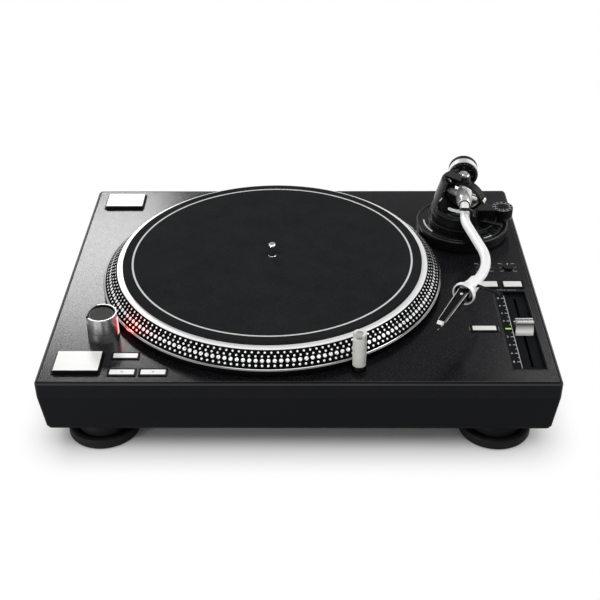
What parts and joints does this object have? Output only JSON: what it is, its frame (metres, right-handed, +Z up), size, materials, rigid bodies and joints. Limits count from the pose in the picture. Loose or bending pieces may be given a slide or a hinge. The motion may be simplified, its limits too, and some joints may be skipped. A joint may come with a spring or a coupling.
{
  "type": "dj turntable",
  "caption": "Direct-drive turntable: black box-shaped deck on cup feet, platter with dotted rim and felt mat, S-shaped tonearm, pitch fader and start keys.",
  "frame": {"origin": "on the floor, under the middle of the deck", "axes": "+X to the right of the user, +Y to the back of the deck, +Z up"},
  "size_m": [0.458, 0.352, 0.1462],
  "materials": {
    "black_paint": "satin black paint",
    "speckled_paint": "satin black paint with fine speckles",
    "base_rubber": "matt black",
    "dark_steel": "matt",
    "steel": "zinc plated",
    "cast_aluminium": "cast",
    "copper_core": "laminated core with enamelled wire",
    "board": "solder mask",
    "core_steel": "laminated",
    "black_plastic": "fine grain",
    "dark_plastic": "fine grain",
    "gold_brass": "plated",
    "panel_plastic": "satin",
    "grey_metal": "satin anodised",
    "red_lens": "clear red",
    "black_cast": "black paint",
    "platter_metal": "turned, with polished rims",
    "magnet": "ferrite",
    "polished_steel": "polished",
    "felt": "felt",
    "key_white": "satin",
    "knob_black": "satin",
    "silver_plastic": "silver paint",
    "lamp_metal": "satin",
    "foot_rubber": "matt",
    "chrome_metal": "polished",
    "silver_alloy": "satin",
    "weight_metal": "polished band, black rear",
    "head_plastic": "gloss",
    "stylus_white": "gloss"
  },
  "bodies": {
    "deck": {"top_shell": "black_paint", "faceplate": "speckled_paint", "lower_base": "base_rubber", "base_plate": "dark_steel", "base_screws": "steel", "bearing_housing": "cast_aluminium", "stator": "copper_core", "main_board": "board", "transformer": "core_steel", "mains_inlet": "black_plastic", "jack_panel": "dark_plastic", "output_jacks": "gold_brass", "pitch_plate": "panel_plastic", "controls_board": "board", "key_frames": "black_plastic", "strobe_housing": "grey_metal", "strobe_lens": "red_lens", "lamp_sleeve": "black_plastic", "arm_base": "black_cast"},
    "turntable": {"platter": "platter_metal", "rotor_magnet": "magnet", "spindle": "polished_steel"},
    "mat": {"slipmat": "felt"},
    "start_front": {"start_front": "key_white"},
    "start_rear": {"start_rear": "key_white"},
    "key_33": {"key_33": "key_white"},
    "key_45": {"key_45": "key_white"},
    "key_reverse": {"key_reverse": "key_white"},
    "key_reset": {"key_reset": "key_white"},
    "key_range_a": {"key_range_a": "key_white"},
    "key_range_b": {"key_range_b": "key_white"},
    "power_knob": {"power_knob": "knob_black"},
    "trim_knob_a": {"trim_knob_a": "knob_black"},
    "trim_knob_b": {"trim_knob_b": "knob_black"},
    "pitch_fader": {"pitch_fader": "silver_plastic"},
    "target_lamp": {"target_lamp": "lamp_metal"},
    "line_switch": {"line_switch": "key_white"},
    "ground_nut": {"ground_nut": "gold_brass"},
    "foot_fl": {"foot_fl": "foot_rubber"},
    "foot_fr": {"foot_fr": "foot_rubber"},
    "foot_rl": {"foot_rl": "foot_rubber"},
    "foot_rr": {"foot_rr": "foot_rubber"},
    "height_ring": {"height_ring": "black_cast"},
    "anti_skate_dial": {"anti_skate_dial": "knob_black"},
    "lift_bar": {"lift_bar": "chrome_metal"},
    "cue_lever": {"cue_lever": "knob_black"},
    "arm_clamp": {"arm_clamp": "black_plastic"},
    "gimbal": {"gimbal": "black_cast"},
    "counterweight": {"counterweight": "weight_metal"},
    "weight_dial": {"weight_dial": "knob_black"},
    "lock_collar": {"lock_collar": "silver_alloy"},
    "pickup": {"pickup": "head_plastic"},
    "stylus": {"stylus": "stylus_white"},
    "column": {"arm_column": "black_cast", "arm_tower": "black_cast", "pivot_cap": "chrome_metal", "lift_guide": "black_plastic"},
    "arm": {"arm_hub": "silver_alloy", "arm_tube": "silver_alloy", "rear_shaft": "silver_alloy"}
  },
  "joints": [
    {"name": "platter_spin", "type": "hinge", "parent": "deck", "child": "turntable", "pos_m": [-0.027, -0.0025, 0.094], "axis": [0, 0, 1], "continuous": true},
    {"name": "mat_slip", "type": "hinge", "parent": "turntable", "child": "mat", "pos_m": [-0.027, -0.0025, 0.1], "axis": [0, 0, 1], "continuous": true},
    {"name": "start_front_press", "type": "slide", "parent": "deck", "child": "start_front", "axis": [0, 0, -1], "range_m": [0, 0.0008], "stiffness_N_per_m": 500, "springref_m": -0.0006},
    {"name": "start_rear_press", "type": "slide", "parent": "deck", "child": "start_rear", "axis": [0, 0, -1], "range_m": [0, 0.0008], "stiffness_N_per_m": 500, "springref_m": -0.0006},
    {"name": "key_33_press", "type": "slide", "parent": "deck", "child": "key_33", "axis": [0, 0, -1], "range_m": [0, 0.0008], "stiffness_N_per_m": 300, "springref_m": -0.0006},
    {"name": "key_45_press", "type": "slide", "parent": "deck", "child": "key_45", "axis": [0, 0, -1], "range_m": [0, 0.0008], "stiffness_N_per_m": 300, "springref_m": -0.0006},
    {"name": "key_reverse_press", "type": "slide", "parent": "deck", "child": "key_reverse", "axis": [0, 0, -1], "range_m": [0, 0.0008], "stiffness_N_per_m": 300, "springref_m": -0.0006},
    {"name": "key_reset_press", "type": "slide", "parent": "deck", "child": "key_reset", "axis": [0, 0, -1], "range_m": [0, 0.0008], "stiffness_N_per_m": 300, "springref_m": -0.0006},
    {"name": "key_range_a_press", "type": "slide", "parent": "deck", "child": "key_range_a", "axis": [0, 0, -1], "range_m": [0, 0.0008], "stiffness_N_per_m": 300, "springref_m": -0.0006},
    {"name": "key_range_b_press", "type": "slide", "parent": "deck", "child": "key_range_b", "axis": [0, 0, -1], "range_m": [0, 0.0008], "stiffness_N_per_m": 300, "springref_m": -0.0006},
    {"name": "power_turn", "type": "hinge", "parent": "deck", "child": "power_knob", "pos_m": [-0.17908, -0.10393, 0.094], "axis": [0, 0, -1], "range_deg": [0, 40]},
    {"name": "trim_a_turn", "type": "hinge", "parent": "deck", "child": "trim_knob_a", "pos_m": [0.1844, 0.012, 0.079], "axis": [0, 0, 1], "range_deg": [-150, 150]},
    {"name": "trim_b_turn", "type": "hinge", "parent": "deck", "child": "trim_knob_b", "pos_m": [0.208, 0.012, 0.079], "axis": [0, 0, 1], "range_deg": [-150, 150]},
    {"name": "pitch_slide", "type": "slide", "parent": "deck", "child": "pitch_fader", "axis": [0, 1, 0], "range_m": [-0.0503, 0.0503]},
    {"name": "lamp_lower", "type": "slide", "parent": "deck", "child": "target_lamp", "axis": [0, 0, -1], "range_m": [0, 0.0325]},
    {"name": "voltage_slide", "type": "slide", "parent": "deck", "child": "line_switch", "axis": [1, 0, 0], "range_m": [0, 0.004]},
    {"name": "ground_turn", "type": "hinge", "parent": "deck", "child": "ground_nut", "pos_m": [0.137, 0.1681, 0.0435], "axis": [0, 1, 0], "continuous": true},
    {"name": "foot_fl_screw", "type": "slide", "parent": "deck", "child": "foot_fl", "axis": [0, 0, -1], "range_m": [0, 0.006]},
    {"name": "foot_fr_screw", "type": "slide", "parent": "deck", "child": "foot_fr", "axis": [0, 0, -1], "range_m": [0, 0.006]},
    {"name": "foot_rl_screw", "type": "slide", "parent": "deck", "child": "foot_rl", "axis": [0, 0, -1], "range_m": [0, 0.006]},
    {"name": "foot_rr_screw", "type": "slide", "parent": "deck", "child": "foot_rr", "axis": [0, 0, -1], "range_m": [0, 0.006]},
    {"name": "height_turn", "type": "hinge", "parent": "deck", "child": "height_ring", "pos_m": [0.1695, 0.08499, 0.085], "axis": [0, 0, 1], "range_deg": [0, 302]},
    {"name": "arm_height", "type": "slide", "parent": "deck", "child": "column", "axis": [0, 0, 1], "range_m": [0, 0.006]},
    {"name": "anti_skate_turn", "type": "hinge", "parent": "column", "child": "anti_skate_dial", "pos_m": [0.2115, 0.08949, 0.099], "axis": [0, 0, 1], "range_deg": [0, 300]},
    {"name": "cue_raise", "type": "hinge", "parent": "column", "child": "cue_lever", "pos_m": [0.1905, 0.07149, 0.0976], "axis": [-0.5, -0.866, 0], "range_deg": [0, 37]},
    {"name": "lift_lower", "type": "slide", "parent": "column", "child": "lift_bar", "axis": [0, 0, -1], "range_m": [0, 0.003]},
    {"name": "clamp_open", "type": "hinge", "parent": "column", "child": "arm_clamp", "pos_m": [0.17227, 0.03861, 0.1228], "axis": [0.0958, 0.9954, 0], "range_deg": [0, 95]},
    {"name": "arm_swing", "type": "hinge", "parent": "column", "child": "gimbal", "pos_m": [0.1695, 0.08499, 0.122], "axis": [0, 0, -1], "range_deg": [0, 45]},
    {"name": "arm_tilt", "type": "hinge", "parent": "gimbal", "child": "arm", "pos_m": [0.1695, 0.08499, 0.122], "axis": [-0.8339, 0.5519, 0], "range_deg": [-1.8, 3]},
    {"name": "weight_slide", "type": "slide", "parent": "arm", "child": "counterweight", "axis": [0.0958, 0.9954, 0], "range_m": [-0.008, 0.0035]},
    {"name": "dial_turn", "type": "hinge", "parent": "counterweight", "child": "weight_dial", "pos_m": [0.17372, 0.12879, 0.122], "axis": [0.0958, 0.9954, 0], "continuous": true},
    {"name": "collar_turn", "type": "hinge", "parent": "arm", "child": "lock_collar", "pos_m": [0.16287, -0.07783, 0.122], "axis": [-0.5519, -0.8339, 0], "range_deg": [0, 60]},
    {"name": "head_pull", "type": "slide", "parent": "arm", "child": "pickup", "axis": [-0.5519, -0.8339, 0], "range_m": [0, 0.02]},
    {"name": "stylus_pull", "type": "slide", "parent": "pickup", "child": "stylus", "axis": [-0.5519, -0.8339, 0], "range_m": [0, 0.012]}
  ],
  "couplings": [
    {"joint": "height_turn", "follows": "arm_height", "rad_per_m": 872.66},
    {"joint": "cue_raise", "follows": "lift_lower", "rad_per_m": 203.62}
  ]
}
